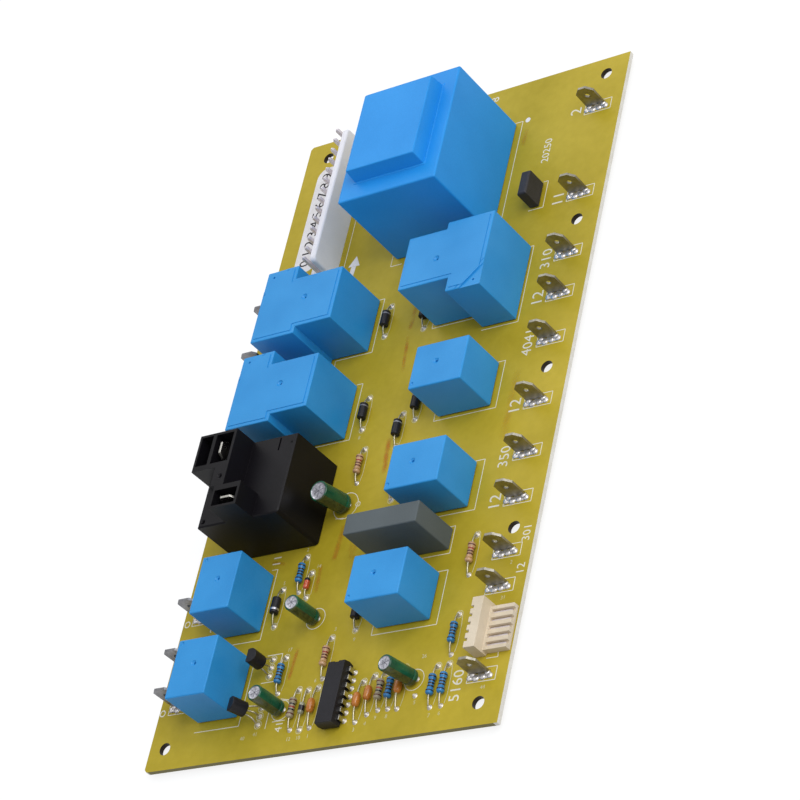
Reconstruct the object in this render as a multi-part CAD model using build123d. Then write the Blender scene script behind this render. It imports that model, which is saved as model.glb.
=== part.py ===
from build123d import *
import math
import os

os.makedirs("parts", exist_ok=True)

# Board sheet: x to the right, y along the length, z out of the component side
board_width = 127.6
board_length = 231.7
board_thickness = 1.6
corner_clip = 0.9
mounting_hole = 4.0
left_hole_bottom = (6.0, 7.0)
left_hole_top = (9.2, 224.8)
right_hole_x = 119.8
right_hole_rows = (7.0, 62.0, 116.1, 169.3, 225.4)

# Solder side: how far the joints stand below the sheet
joint_height = 1.8
wire_joint_height = 1.3
joint_foot = 2.6
joint_tip = 1.2
wire_joint_foot = 1.8
wire_joint_tip = 0.8
lead_clearance = 0.2
board_top = joint_height + board_thickness

# Thin wires of the small parts
wire = 0.55

# Mains transformer
transformer_corner = (50.9, 172.1)
transformer_size = (37.3, 42.8, 31.2)
transformer_wall = 1.4
transformer_recess = 1.0
transformer_edge = 0.8
boss_corner = (56.3, 178.4)
boss_size = (26.7, 30.5)
boss_height = 5.6
boss_draft = 4
transformer_pin = 0.9
transformer_pin_rows = 27.5
transformer_pin_pitch = 10.0

# Moulded relay covers, shared by both sizes
cover_wall = 0.9
cover_lift = 0.3
cover_fit = 0.05
cover_edge = 0.5
base_plate = 3.0
relay_pin = 1.0

# Notched power relay
notched_size = (31.3, 26.6, 19.9)
front_step = (18.8, 5.0)
back_step = (14.1, 2.4)
corner_mark = 7.4
corner_mark_depth = 0.4
notched_pins = ((4.4, 9.0), (4.4, 19.2), (16.6, 20.4), (27.6, 4.4), (27.6, 20.4))
notched_places = ((73.6, 136.2, 0), (48.5, 162.0, 180), (47.7, 130.1, 180))

# Small relay
small_size = (19.1, 15.1, 15.9)
small_pins = ((2.4, 7.55), (4.4, 1.9), (4.4, 13.2), (16.4, 1.9), (16.4, 13.2))
small_places = (
    (83.0, 106.2, 0),
    (82.7, 71.8, 0),
    (77.7, 35.9, 0),
    (17.7, 60.9, -90),
    (17.1, 32.9, -90),
)

# Black power relay with raised towers
power_corner = (16.1, 68.9)
power_size = (31.3, 27.5, 20.0)
power_round = 1.2
power_edge = 0.4
tower_top = 28.0
pocket_floor = 17.0
back_tower = ((0.0, 14.7), (14.5, 27.5))
middle_tower = ((9.4, 7.9), (14.5, 14.7))
front_tower = ((11.2, 0.0), (21.6, 7.9))
empty_pocket = ((0.8, 16.5), (5.4, 26.7))
back_pocket = ((6.7, 16.5), (13.5, 26.6))
front_pocket = ((11.9, 0.8), (20.7, 6.1))
slot_corner = (25.0, 22.4)
slot_size = (0.6, 4.3)
dimple_depth = 1.2
power_holes = ((1.9, 1.8, 20.0), (12.3, 11.2, 28.0))
power_hole = 1.2
power_blade_top = 27.2
back_blade = (8.5, 22.5)
front_blade = (15.85, 3.9)
power_pins = ((4.6, 8.2), (26.6, 8.2), (26.6, 20.6), (15.6, 20.6))

# Push-on blade, shared by the edge tabs and the black relay
blade_width = 6.35
blade_thickness = 0.8
blade_chamfer = (1.3, 1.9)
wide_blade_chamfer = (2.0, 1.2)

# Edge tabs
tab_top = 8.7
left_tab_top = 10.3
tab_foot = 0.5
tab_hole = 1.7
tab_hole_sides = 8
tab_hole_drop = 3.4
tab_leg = 1.0
tab_leg_pitch = 5.08
right_tab_x = 118.5
right_tab_rows = (
    213.3, 180.0, 157.8, 143.0, 126.8, 105.2, 87.7, 72.5, 55.0, 43.8, 16.2,
)
left_tabs = ((6.5, 158.4), (6.5, 140.4), (8.0, 51.2), (8.0, 34.2), (8.0, 21.2))

# Film capacitor
film_corner = (71.8, 58.5)
film_size = (26.2, 6.9, 16.6)
film_edge = 0.5
film_lead_pitch = 22.5
film_lead = 0.8

# In-line bridge rectifier
bridge_corner = (101.0, 178.2)
bridge_size = (3.3, 8.7, 7.4)
bridge_lift = 0.3
bridge_edge = 0.4
bridge_lead = 0.6
bridge_pitch = 2.1

# Fourteen-lead chip
chip_centre = (69.55, 15.03)
chip_size = (6.5, 19.8)
chip_split = 2.5
chip_lift = 0.5
chip_top = 4.5
chip_draft = 7
chip_notch = 0.9
chip_notch_depth = 0.5
chip_row = 7.62
chip_pitch = 2.54
chip_lead_count = 7
chip_lead_thickness = 0.3
chip_shoulder = 1.5
chip_shoulder_foot = 0.5
chip_leg = 0.5

# Electrolytic capacitors: base x, base y, top x, top y, diameter, height
can_places = (
    (54.3, 81.2, 54.2, 79.1, 6.4, 11.5),
    (53.2, 43.0, 54.0, 41.9, 5.0, 11.0),
    (48.3, 14.1, 48.4, 13.6, 5.0, 11.0),
    (95.6, 17.3, 94.9, 16.1, 5.0, 11.6),
)
can_lift = 1.2
can_edge = 0.4
can_rim = 0.7
can_rim_depth = 0.2
can_lead_share = 0.4

# Small transistors
transistor_width = 4.6
transistor_depth = 3.5
transistor_height = 5.0
transistor_lift = 4.0
transistor_inner_pitch = 1.27
transistor_pad_pitch = 2.7
transistors = ((39.7, 28.6, 0, 40.6, 28.9), (38.2, 13.6, -22, 40.8, 13.1))

# Parts lying along the length: x, far pad y, near pad y
axial_lift = 0.3
body_sides = 12
diode_size = (2.7, 5.2)
diode_places = (
    (53.6, 153.6, 142.4),
    (68.9, 152.9, 141.7),
    (53.6, 119.6, 108.2),
    (68.8, 110.6, 99.0),
    (73.9, 118.9, 107.6),
    (71.7, 91.2, 80.0),
    (69.7, 48.2, 37.0),
    (37.6, 55.3, 43.0),
)
glass_size = (1.8, 3.8)
glass_places = ((47.5, 59.4, 51.1), (57.2, 19.3, 6.7))
resistor_size = (2.3, 6.3)
resistor_waist = 1.8
resistor_bulge = 1.5
tan_places = (
    (56.7, 100.5, 88.6),
    (61.5, 35.6, 22.4),
    (107.2, 61.8, 48.7),
    (84.8, 21.0, 9.3),
    (53.6, 19.9, 7.1),
)
blue_places = (
    (44.1, 65.3, 53.4),
    (45.6, 31.5, 19.8),
    (106.9, 36.2, 23.5),
    (107.0, 20.6, 7.7),
    (103.2, 20.5, 7.7),
    (88.3, 21.2, 9.2),
)
ceramic_size = (2.6, 4.6)
ceramic_shoulder = 0.8
ceramic_places = (
    (60.8, 19.6, 6.9),
    (77.4, 19.2, 6.5),
    (81.1, 20.5, 8.4),
    (91.6, 21.7, 8.8),
)

# Pin header with friction wall
header_pitch = 3.96
header_count = 14
header_pin = 1.14
header_pin_x = 22.8
header_middle = 197.6
header_pin_top = 12.9
header_pin_point = 0.35
header_base = (18.4, 26.5)
header_base_length = 55.4
header_base_height = 3.2
header_wall = 1.9
header_wall_top = 11.5
header_wall_length = 53.0
header_wall_round = 0.8
header_wall_corner = 1.6

# Edge connector
connector_x = 115.5
connector_wall = 3.8
connector_y = (21.2, 37.0)
connector_height = 6.0
tooth_depth = 1.0
tooth_height = 1.6
tooth_gap = 0.9
comb_length = 7.9
comb_y = (21.9, 35.6)
comb_height = 2.2
groove = 1.2
groove_depth = 1.3
groove_margin = 0.6
contact_pitch = 2.54
contact_count = 5
contact_thickness = 0.4
contact_width = 0.8
contact_rise = 1.0
contact_lead = 0.6


# A shape drawn about its own corner or centre goes to its place on the board
def on_board(shape, x, y, z=0, turn=0):
    return Pos(x - board_width / 2, y - board_length / 2, board_top + z) * Rot(0, 0, turn) * shape


# Where a point of a turned part's own drawing falls on the board
def board_point(point, x, y, turn=0):
    angle = math.radians(turn)
    across = x + point[0] * math.cos(angle) - point[1] * math.sin(angle)
    along = y + point[0] * math.sin(angle) + point[1] * math.cos(angle)
    return (across, along)


# An upright block between two corners of its plan and two heights
def block(low, high, bottom, top):
    size = (high[0] - low[0], high[1] - low[1], top - bottom)
    return Pos(low[0], low[1], bottom) * Box(*size, align=(Align.MIN, Align.MIN, Align.MIN))


# An upright block about a centre
def post(x, y, width, depth, bottom, top):
    return block((x - width / 2, y - depth / 2), (x + width / 2, y + depth / 2), bottom, top)


# A tapered block with a square foot and tip, standing up or hanging down from its foot
def square_frustum(foot, foot_z, tip, tip_z):
    height = abs(tip_z - foot_z)
    slope = math.degrees(math.atan2((foot - tip) / 2, height))
    solid = extrude(Rectangle(foot, foot), height, taper=slope)
    return Pos(0, 0, foot_z) * Rot(0 if tip_z > foot_z else 180, 0, 0) * solid


def top_edges(shape):
    return shape.faces().sort_by(Axis.Z)[-1].outer_wire().edges()


def save(shape, name):
    export_step(shape, "parts/" + name + ".step")


# Leads that pass through the sheet, gathered as the parts are made: x, y, width, depth
through_leads = []
# Thin wires that end on the sheet with a joint beneath: x, y
wire_pads = []
# Shapes of the thin wires, gathered as the parts are made
wires = []


def square_lead(x, y, width, top=0):
    through_leads.append((x, y, width, width))
    return on_board(post(0, 0, width, width, -board_thickness, top), x, y)


# Mains transformer: potted case with a raised boss, resin set back inside the rim
def transformer_case():
    width, depth, height = transformer_size
    case = block((0, 0), (width, depth), 0, height)
    case = chamfer(case.edges().filter_by(Axis.Z), transformer_edge)
    case = chamfer(top_edges(case), transformer_edge)
    low = (transformer_wall, transformer_wall)
    high = (width - transformer_wall, depth - transformer_wall)
    case -= block(low, high, 0, transformer_recess)
    boss = extrude(Rectangle(*boss_size), boss_height, taper=boss_draft)
    boss = chamfer(top_edges(boss), transformer_edge)
    boss_x = boss_corner[0] - transformer_corner[0] + boss_size[0] / 2
    boss_y = boss_corner[1] - transformer_corner[1] + boss_size[1] / 2
    case += Pos(boss_x, boss_y, height) * boss
    return on_board(case, *transformer_corner)


def transformer_pins():
    middle_x = transformer_corner[0] + transformer_size[0] / 2
    middle_y = transformer_corner[1] + transformer_size[1] / 2
    pins = []
    for side in (-1, 1):
        for index in range(4):
            y = middle_y + (index - 1.5) * transformer_pin_pitch
            x = middle_x + side * transformer_pin_rows / 2
            pins.append(square_lead(x, y, transformer_pin, transformer_recess))
    return Compound(children=pins)


# Relay cover: a moulded cap over its base plate, open only beneath
def relay_cover(plan, height):
    cover = Pos(0, 0, cover_lift) * extrude(plan, height - cover_lift)
    cover = chamfer(top_edges(cover), cover_edge)
    inside = offset(plan, -cover_wall, kind=Kind.INTERSECTION)
    return cover - extrude(inside, base_plate)


# Relay base: the plate inside the cover, with its solder pins
def relay_base(plan, pins):
    plate = offset(plan, -(cover_wall + cover_fit), kind=Kind.INTERSECTION)
    base = extrude(plate, base_plate)
    for x, y in pins:
        base += post(x, y, relay_pin, relay_pin, -board_thickness, 0)
    return base


def pin_holes(pins, place):
    x, y, turn = place
    for point in pins:
        hole_x, hole_y = board_point(point, x, y, turn)
        through_leads.append((hole_x, hole_y, relay_pin, relay_pin))


def from_corner(outline):
    return make_face(Polyline(*outline, close=True))


def notched_plan():
    width, depth, _ = notched_size
    outline = [
        (back_step[0], depth),
        (back_step[0], depth - back_step[1]),
        (0, depth - back_step[1]),
        (0, front_step[1]),
        (front_step[0], front_step[1]),
        (front_step[0], 0),
        (width, 0),
        (width, depth),
    ]
    return from_corner(outline)


def notched_cover():
    width, _, height = notched_size
    cover = relay_cover(notched_plan(), height)
    corner = from_corner([(width - corner_mark, 0), (width, 0), (width, corner_mark)])
    return cover - Pos(0, 0, height - corner_mark_depth) * extrude(corner, 1)


def small_plan():
    width, depth, _ = small_size
    return from_corner([(0, 0), (width, 0), (width, depth), (0, depth)])


# Black power relay: one moulding with three towers and deep pockets for push-on sockets
def power_plan():
    width, depth, _ = power_size
    plan = from_corner([(0, 0), (width, 0), (width, depth), (0, depth)])
    corner = plan.vertices().sort_by_distance((width, 0, 0))[0]
    return fillet(corner, power_round)


def power_case():
    height = power_size[2]
    plan = power_plan()
    case = Pos(0, 0, cover_lift) * extrude(plan, height - cover_lift)
    case = chamfer(top_edges(case), power_edge)
    for low, high in (back_tower, middle_tower, front_tower):
        case += block(low, high, pocket_floor, tower_top)
    for low, high in (empty_pocket, back_pocket, front_pocket):
        case -= block(low, high, pocket_floor, tower_top)
    inside = offset(plan, -cover_wall, kind=Kind.INTERSECTION)
    case -= extrude(inside, base_plate)
    slot_end = (slot_corner[0] + slot_size[0], slot_corner[1] + slot_size[1])
    case -= block(slot_corner, slot_end, height - dimple_depth, height)
    for x, y, top in power_holes:
        hole = Cylinder(power_hole / 2, dimple_depth, align=(Align.CENTER, Align.CENTER, Align.MAX))
        case -= Pos(x, y, top) * hole
    return on_board(case, *power_corner)


# Flat push-on blade seen from its broad side, with a chamfered tip
def blade_plate(bottom, top, tip=blade_chamfer):
    half = blade_width / 2
    along, down = tip
    outline = Polyline(
        (-half, bottom),
        (half, bottom),
        (half, top - down),
        (half - along, top),
        (-half + along, top),
        (-half, top - down),
        close=True,
    )
    return extrude(Plane.XZ * make_face(outline), blade_thickness / 2, both=True)


def power_blade(place, turn):
    blade = Pos(*place, 0) * Rot(0, 0, turn) * blade_plate(pocket_floor, power_blade_top)
    return on_board(blade, *power_corner)


# Edge tab: a blade on two soldered legs
def edge_tab(x, y, top, tip):
    tab = blade_plate(tab_foot, top, tip)
    hole = extrude(Plane.XZ * RegularPolygon(tab_hole / 2, tab_hole_sides), blade_thickness, both=True)
    tab -= Pos(0, 0, top - tab_hole_drop) * hole
    for side in (-1, 1):
        leg_x = side * tab_leg_pitch / 2
        tab += post(leg_x, 0, tab_leg, blade_thickness, -board_thickness, tab_foot)
        through_leads.append((x + leg_x, y, tab_leg, blade_thickness))
    return on_board(tab, x, y)


def film_capacitor():
    width, depth, height = film_size
    body = chamfer(block((0, 0), (width, depth), 0, height).edges(), film_edge)
    middle_x = film_corner[0] + width / 2
    y = film_corner[1] + depth / 2
    for side in (-1, 1):
        wires.append(square_lead(middle_x + side * film_lead_pitch / 2, y, film_lead))
    return on_board(body, *film_corner)


def bridge_rectifier():
    width, depth, height = bridge_size
    body = block((0, 0), (width, depth), bridge_lift, bridge_lift + height)
    body = chamfer(body.faces().sort_by(Axis.Z)[-1].edges(), bridge_edge)
    for index in range(4):
        y = bridge_corner[1] + depth / 2 + (index - 1.5) * bridge_pitch
        wires.append(square_lead(bridge_corner[0] + width / 2, y, bridge_lead, bridge_lift))
    return on_board(body, *bridge_corner)


# Chip body: two drafted halves meeting at the leads, with a notch at one end
def chip_body():
    upper = extrude(Rectangle(*chip_size), chip_top - chip_split, taper=chip_draft)
    lower = extrude(Rectangle(*chip_size), chip_split - chip_lift, taper=chip_draft)
    body = Pos(0, 0, chip_split) * (upper + Rot(180, 0, 0) * lower)
    notch = Cylinder(chip_notch, chip_notch_depth, align=(Align.CENTER, Align.CENTER, Align.MAX))
    body -= Pos(0, chip_size[1] / 2, chip_top) * notch
    return on_board(body, *chip_centre)


def chip_lead(side, y):
    inner = chip_size[0] / 2
    outer = chip_row / 2 + chip_lead_thickness / 2
    low = chip_split - chip_lead_thickness / 2
    high = chip_split + chip_lead_thickness / 2
    outline = Polyline(
        (inner, low),
        (outer - chip_lead_thickness, low),
        (outer - chip_lead_thickness, chip_shoulder_foot),
        (outer, chip_shoulder_foot),
        (outer, high),
        (inner, high),
        close=True,
    )
    lead = extrude(Plane.XZ * make_face(outline), chip_shoulder / 2, both=True)
    foot = chip_shoulder_foot
    lead += post(chip_row / 2, 0, chip_lead_thickness, chip_leg, -board_thickness, foot)
    lead = Rot(0, 0, 0 if side > 0 else 180) * lead
    x = chip_centre[0] + side * chip_row / 2
    through_leads.append((x, y, chip_lead_thickness, chip_leg))
    return on_board(lead, chip_centre[0], y)


# Electrolytic capacitor: sleeved can with a rolled rim, leaning a little on its wires
def can_capacitor(base_x, base_y, top_x, top_y, diameter, height):
    radius = diameter / 2
    profile = Polyline(
        (0, 0),
        (radius, 0),
        (radius, height - can_edge),
        (radius - can_edge, height),
        (radius - can_rim, height),
        (radius - can_rim - can_rim_depth, height - can_rim_depth),
        (0, height - can_rim_depth),
        close=True,
    )
    can = revolve(Plane.XZ * make_face(profile), Axis.Z)
    lean_x = math.degrees(math.atan2(top_x - base_x, height))
    lean_y = math.degrees(math.atan2(top_y - base_y, height))
    can = on_board(Rot(-lean_y, lean_x, 0) * can, base_x, base_y, can_lift)
    for side in (-1, 1):
        lead_x = base_x + side * diameter * can_lead_share / 2
        wire_pads.append((lead_x, base_y))
        lead = post(0, 0, wire, wire, 0, 2 * can_lift)
        wires.append(on_board(lead, lead_x, base_y) - can)
    return can


# Small transistor: a half-round body on three spread wires
def transistor(x, y, lean, pad_x, pad_y):
    radius = transistor_width / 2
    plan = Circle(radius)
    flat = Pos(radius - transistor_depth, 0)
    plan -= flat * Rectangle(radius, transistor_width, align=(Align.MAX, Align.CENTER))
    body = Rot(0, lean, 0) * extrude(plan, transistor_height)
    body = on_board(body, x, y, transistor_lift)
    for step in (-1, 0, 1):
        foot = (pad_x, pad_y + step * transistor_pad_pitch)
        wire_pads.append(foot)
        start = Vector(foot[0] - board_width / 2, foot[1] - board_length / 2, board_top)
        end_y = y + step * transistor_inner_pitch - board_length / 2
        end = Vector(x - board_width / 2, end_y, board_top + transistor_lift)
        end += (end - start) * 0.3
        path = Line(start, end)
        lead = sweep(Plane(start, z_dir=(0, 0, 1)) * Rectangle(wire, wire), path=path)
        wires.append(lead - body)
    return body


# A part lying along the length: its body between its pads, and two bent wires
def lying_part(body, length, lift, place):
    x, far, near = place
    middle = (far + near) / 2
    for side, pad in ((1, far), (-1, near)):
        wire_pads.append((x, pad))
        reach = abs(pad - middle)
        path = Polyline((0, length / 2, 0), (0, reach, 0), (0, reach, -lift))
        start = Plane((0, length / 2, 0), z_dir=(0, 1, 0))
        lead = sweep(start * Rectangle(wire, wire), path=path, transition=Transition.RIGHT)
        wires.append(on_board(lead, x, middle, lift, 0 if side > 0 else 180))
    return on_board(body, x, middle, lift)


def straight_body(size):
    plan = RegularPolygon(size[0] / 2, body_sides)
    return Rot(90, 0, 0) * extrude(plan, size[1] / 2, both=True)


# A body in three stretches: a middle of one width, tapering or flaring to each end
def three_part_body(middle, middle_length, end, length):
    stretch = (length - middle_length) / 2
    slope = math.degrees(math.atan2((middle - end) / 2, stretch))
    plan = RegularPolygon(middle / 2, body_sides)
    body = extrude(plan, middle_length / 2, both=True)
    end_piece = Pos(0, 0, middle_length / 2) * extrude(plan, stretch, taper=slope)
    body += [end_piece, Rot(180, 0, 0) * end_piece]
    return Rot(90, 0, 0) * body


def waisted_body():
    straight = resistor_size[1] - 2 * resistor_bulge
    return three_part_body(resistor_waist, straight, resistor_size[0], resistor_size[1])


def dipped_body():
    width, length = ceramic_size
    end = width - 2 * ceramic_shoulder
    return three_part_body(width, length - 2 * ceramic_shoulder, end, length)


def lying_group(body, size, places):
    lift = size[0] / 2 + axial_lift
    return Compound(children=[lying_part(body, size[1], lift, place) for place in places])


# Pin header: a low base with a friction wall on its right, holes for the pins
def header_rows():
    first = header_middle - header_pitch * (header_count - 1) / 2
    return [first + header_pitch * index for index in range(header_count)]


def header_housing():
    left, right = header_base
    low = header_middle - header_base_length / 2
    high = header_middle + header_base_length / 2
    wall_low = header_middle - header_wall_length / 2
    wall_high = header_middle + header_wall_length / 2
    wall = block((right - header_wall, wall_low), (right, wall_high), 0, header_wall_top)
    corners = wall.faces().sort_by(Axis.Z)[-1].edges().filter_by(Axis.X)
    wall = fillet(corners, header_wall_corner)
    upper = wall.faces().sort_by(Axis.Z)[-1].edges().filter_by(Axis.Y).sort_by(Axis.X)[-1]
    wall = fillet(upper, header_wall_round)
    housing = block((left, low), (right, high), 0, header_base_height) + wall
    for y in header_rows():
        housing -= post(header_pin_x, y, header_pin, header_pin, 0, header_base_height)
    return on_board(housing, 0, 0)


def header_pins():
    pins = []
    for y in header_rows():
        shank_top = header_pin_top - header_pin_point * 2
        pin = post(0, 0, header_pin, header_pin, -board_thickness, shank_top)
        tip = header_pin - 2 * header_pin_point
        pin += square_frustum(header_pin, shank_top, tip, header_pin_top)
        through_leads.append((header_pin_x, y, header_pin, header_pin))
        pins.append(on_board(pin, header_pin_x, y))
    return Compound(children=pins)


# Edge connector: a toothed wall with a low grooved comb reaching to the board's edge
def comb_span():
    start = connector_x + connector_wall
    return (start, start + comb_length)


def contact_rows():
    middle = (comb_y[0] + comb_y[1]) / 2
    return [middle + (index - (contact_count - 1) / 2) * contact_pitch for index in range(contact_count)]


def connector_housing():
    comb_start, comb_end = comb_span()
    low, high = connector_y
    housing = block((connector_x, low), (comb_start, high), 0, connector_height)
    housing += block((comb_start, comb_y[0]), (comb_end, comb_y[1]), 0, comb_height)
    for y in contact_rows():
        gap_low = y - tooth_gap / 2
        floor = connector_height - tooth_height
        tooth_end = connector_x + tooth_depth
        housing -= block((connector_x, gap_low), (tooth_end, gap_low + tooth_gap), floor, connector_height)
        groove_start = comb_start + groove_margin
        floor = comb_height - groove_depth
        housing -= block((groove_start, y - groove / 2), (comb_end, y + groove / 2), floor, comb_height)
        lead_x = groove_start + contact_lead / 2
        housing -= post(lead_x, y, contact_lead, contact_lead, 0, floor)
    return on_board(housing, 0, 0)


def connector_contacts():
    contacts = []
    floor = comb_height - groove_depth
    comb_start, comb_end = comb_span()
    start = comb_start + groove_margin
    for y in contact_rows():
        low = (start, y - contact_width / 2)
        high = (comb_end - contact_rise, y + contact_width / 2)
        contact = block(low, high, floor, floor + contact_thickness)
        lead_x = start + contact_lead / 2
        contact += post(lead_x, y, contact_lead, contact_lead, -board_thickness, floor)
        through_leads.append((lead_x, y, contact_lead, contact_lead))
        contacts.append(on_board(contact, 0, 0))
    return Compound(children=contacts)


# Sheet with its mounting holes and a square hole for every lead that passes through
def circuit_board():
    width, length, clip = board_width, board_length, corner_clip
    outline = [(clip, 0), (width, 0), (width, length), (clip, length), (0, length - clip), (0, clip)]
    plan = from_corner(outline)
    holes = []
    for x, y in [left_hole_bottom, left_hole_top] + [(right_hole_x, row) for row in right_hole_rows]:
        holes.append(Pos(x, y) * Circle(mounting_hole / 2))
    for x, y, lead_width, lead_depth in through_leads:
        hole_width = lead_width + 2 * lead_clearance
        hole_depth = lead_depth + 2 * lead_clearance
        holes.append(Pos(x, y) * Rectangle(hole_width, hole_depth))
    return on_board(extrude(plan - holes, board_thickness), 0, 0, -board_thickness)


# Solder joints: a small pointed heap over every lead end
def solder_joints():
    heap = square_frustum(joint_foot, -board_thickness, joint_tip, -board_top)
    wire_tip = -board_thickness - wire_joint_height
    small_heap = square_frustum(wire_joint_foot, -board_thickness, wire_joint_tip, wire_tip)
    narrow = chip_pitch - 2 * lead_clearance
    chip_heap = square_frustum(narrow, -board_thickness, wire_joint_tip, wire_tip)
    joints = []
    for x, y, lead_width, _ in through_leads:
        shape = chip_heap if lead_width <= bridge_lead else heap
        joints.append(on_board(shape, x, y))
    for x, y in wire_pads:
        joints.append(on_board(small_heap, x, y))
    return Compound(children=joints)


save(transformer_case(), "transformer_case")
save(transformer_pins(), "transformer_pins")

for number, place in enumerate(notched_places, 1):
    x, y, turn = place
    save(on_board(notched_cover(), x, y, 0, turn), "notched_relay_cover_%d" % number)
    base = relay_base(notched_plan(), notched_pins)
    save(on_board(base, x, y, 0, turn), "notched_relay_base_%d" % number)
    pin_holes(notched_pins, place)

for number, place in enumerate(small_places, 1):
    x, y, turn = place
    cover = relay_cover(small_plan(), small_size[2])
    save(on_board(cover, x, y, 0, turn), "small_relay_cover_%d" % number)
    base = relay_base(small_plan(), small_pins)
    save(on_board(base, x, y, 0, turn), "small_relay_base_%d" % number)
    pin_holes(small_pins, place)

save(power_case(), "power_relay_case")
save(on_board(relay_base(power_plan(), power_pins), *power_corner), "power_relay_base")
pin_holes(power_pins, (*power_corner, 0))
save(power_blade(back_blade, 90), "power_relay_blade_1")
save(power_blade(front_blade, 0), "power_relay_blade_2")

for number, y in enumerate(right_tab_rows, 1):
    save(edge_tab(right_tab_x, y, tab_top, blade_chamfer), "edge_tab_right_%02d" % number)
for number, (x, y) in enumerate(left_tabs, 1):
    save(edge_tab(x, y, left_tab_top, wide_blade_chamfer), "edge_tab_left_%d" % number)

save(film_capacitor(), "film_capacitor")
save(bridge_rectifier(), "bridge_rectifier")
save(chip_body(), "chip_body")
leads = []
for side in (-1, 1):
    for index in range(chip_lead_count):
        y = chip_centre[1] + (index - (chip_lead_count - 1) / 2) * chip_pitch
        leads.append(chip_lead(side, y))
save(Compound(children=leads), "chip_leads")

for number, place in enumerate(can_places, 1):
    save(can_capacitor(*place), "electrolytic_capacitor_%d" % number)
for number, place in enumerate(transistors, 1):
    save(transistor(*place), "transistor_%d" % number)

save(lying_group(straight_body(diode_size), diode_size, diode_places), "rectifier_diodes")
save(lying_group(straight_body(glass_size), glass_size, glass_places), "glass_diodes")
save(lying_group(waisted_body(), resistor_size, tan_places), "tan_resistors")
save(lying_group(waisted_body(), resistor_size, blue_places), "blue_resistors")
save(lying_group(dipped_body(), ceramic_size, ceramic_places), "ceramic_capacitors")

save(header_housing(), "pin_header_housing")
save(header_pins(), "pin_header_pins")
save(connector_housing(), "edge_connector_housing")
save(connector_contacts(), "edge_connector_contacts")
save(Compound(children=wires), "wire_leads")
save(circuit_board(), "circuit_board")
save(solder_joints(), "solder_joints")
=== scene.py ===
import bmesh
import bpy
import math
from mathutils import Matrix, Vector


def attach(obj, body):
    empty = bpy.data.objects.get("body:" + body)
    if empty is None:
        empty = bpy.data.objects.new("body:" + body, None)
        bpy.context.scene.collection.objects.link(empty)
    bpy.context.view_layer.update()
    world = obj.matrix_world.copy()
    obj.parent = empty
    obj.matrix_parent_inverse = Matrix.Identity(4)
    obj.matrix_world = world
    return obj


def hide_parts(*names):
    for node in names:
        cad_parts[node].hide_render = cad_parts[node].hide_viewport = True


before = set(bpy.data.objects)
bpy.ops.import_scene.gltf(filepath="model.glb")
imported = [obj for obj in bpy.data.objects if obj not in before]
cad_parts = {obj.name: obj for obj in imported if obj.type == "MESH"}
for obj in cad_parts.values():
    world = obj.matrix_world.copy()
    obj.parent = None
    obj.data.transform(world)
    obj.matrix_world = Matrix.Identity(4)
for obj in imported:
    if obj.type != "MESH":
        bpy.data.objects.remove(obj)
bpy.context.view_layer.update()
bpy.ops.object.select_all(action="DESELECT")


# Camera
# A long lens looks steeply down along the board from its near right corner, rolled so
# that the board's length climbs to the upper right.
bpy.ops.object.camera_add()
camera = bpy.context.object
camera.data.sensor_width = 36
camera.data.lens = 127.84
camera.data.clip_start = 0.05
camera.matrix_world = Matrix((
    (0.78712, 0.18247, 0.58919, 0.50324),
    (0.19528, 0.83237, -0.51867, -0.44061),
    (-0.58507, 0.52331, 0.61955, 0.53019),
    (0, 0, 0, 1),
))
bpy.context.scene.camera = camera
bpy.context.scene.view_settings.view_transform = "Standard"


# Floor and light
# A pale seamless floor under one broad lamp high on the right and a weaker one behind,
# in an evenly lit room. Only the camera and mirror-like surfaces see the room as white,
# and two dark cards stand out of view, in front and to the left.
def put(node, **values):
    for socket, value in values.items():
        node.inputs[socket.replace("_", " ")].default_value = value
    return node


def calculated(nodes, links, operation, *given):
    node = nodes.new("ShaderNodeMath")
    node.operation = operation
    for socket, value in zip(node.inputs, given):
        if isinstance(value, float):
            socket.default_value = value
        else:
            links.new(value, socket)
    return node.outputs[0]


# The camera and mirror-like surfaces get the white shader, everything else the real one
def light_path(nodes, links, white, real, out):
    path = nodes.new("ShaderNodeLightPath").outputs
    seen = calculated(nodes, links, "MAXIMUM", path["Is Camera Ray"], path["Is Transmission Ray"])
    mirrored = calculated(nodes, links, "MAXIMUM", seen, path["Is Glossy Ray"])
    mix = nodes.new("ShaderNodeMixShader")
    for socket, shader in zip(mix.inputs, (mirrored, real, white)):
        links.new(shader, socket)
    links.new(mix.outputs[0], out)


bpy.ops.mesh.primitive_plane_add(size=8)
floor = bpy.context.object
floor.name = "studio_floor"
floor_paint = bpy.data.materials.new("floor_paint")
floor_paint.use_nodes = True
nodes, links = floor_paint.node_tree.nodes, floor_paint.node_tree.links
nodes.clear()
matt = put(nodes.new("ShaderNodeBsdfDiffuse"), Color=(0.5, 0.5, 0.5, 1))
pale = put(nodes.new("ShaderNodeBsdfDiffuse"), Color=(0.2, 0.2, 0.2, 1))
glow = put(nodes.new("ShaderNodeEmission"), Strength=0.84)
bright = nodes.new("ShaderNodeAddShader")
links.new(pale.outputs[0], bright.inputs[0])
links.new(glow.outputs[0], bright.inputs[1])
out = nodes.new("ShaderNodeOutputMaterial")
light_path(nodes, links, bright.outputs[0], matt.outputs[0], out.inputs["Surface"])
floor.data.materials.append(floor_paint)

room = bpy.data.worlds.new("room")
bpy.context.scene.world = room
room.use_nodes = True
nodes, links = room.node_tree.nodes, room.node_tree.links
nodes.clear()
soft = put(nodes.new("ShaderNodeBackground"), Color=(0.93, 0.98, 1.08, 1), Strength=0.6)
white = put(nodes.new("ShaderNodeBackground"), Strength=1.0)
out = nodes.new("ShaderNodeOutputWorld")
light_path(nodes, links, white.outputs[0], soft.outputs[0], out.inputs["Surface"])

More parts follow.
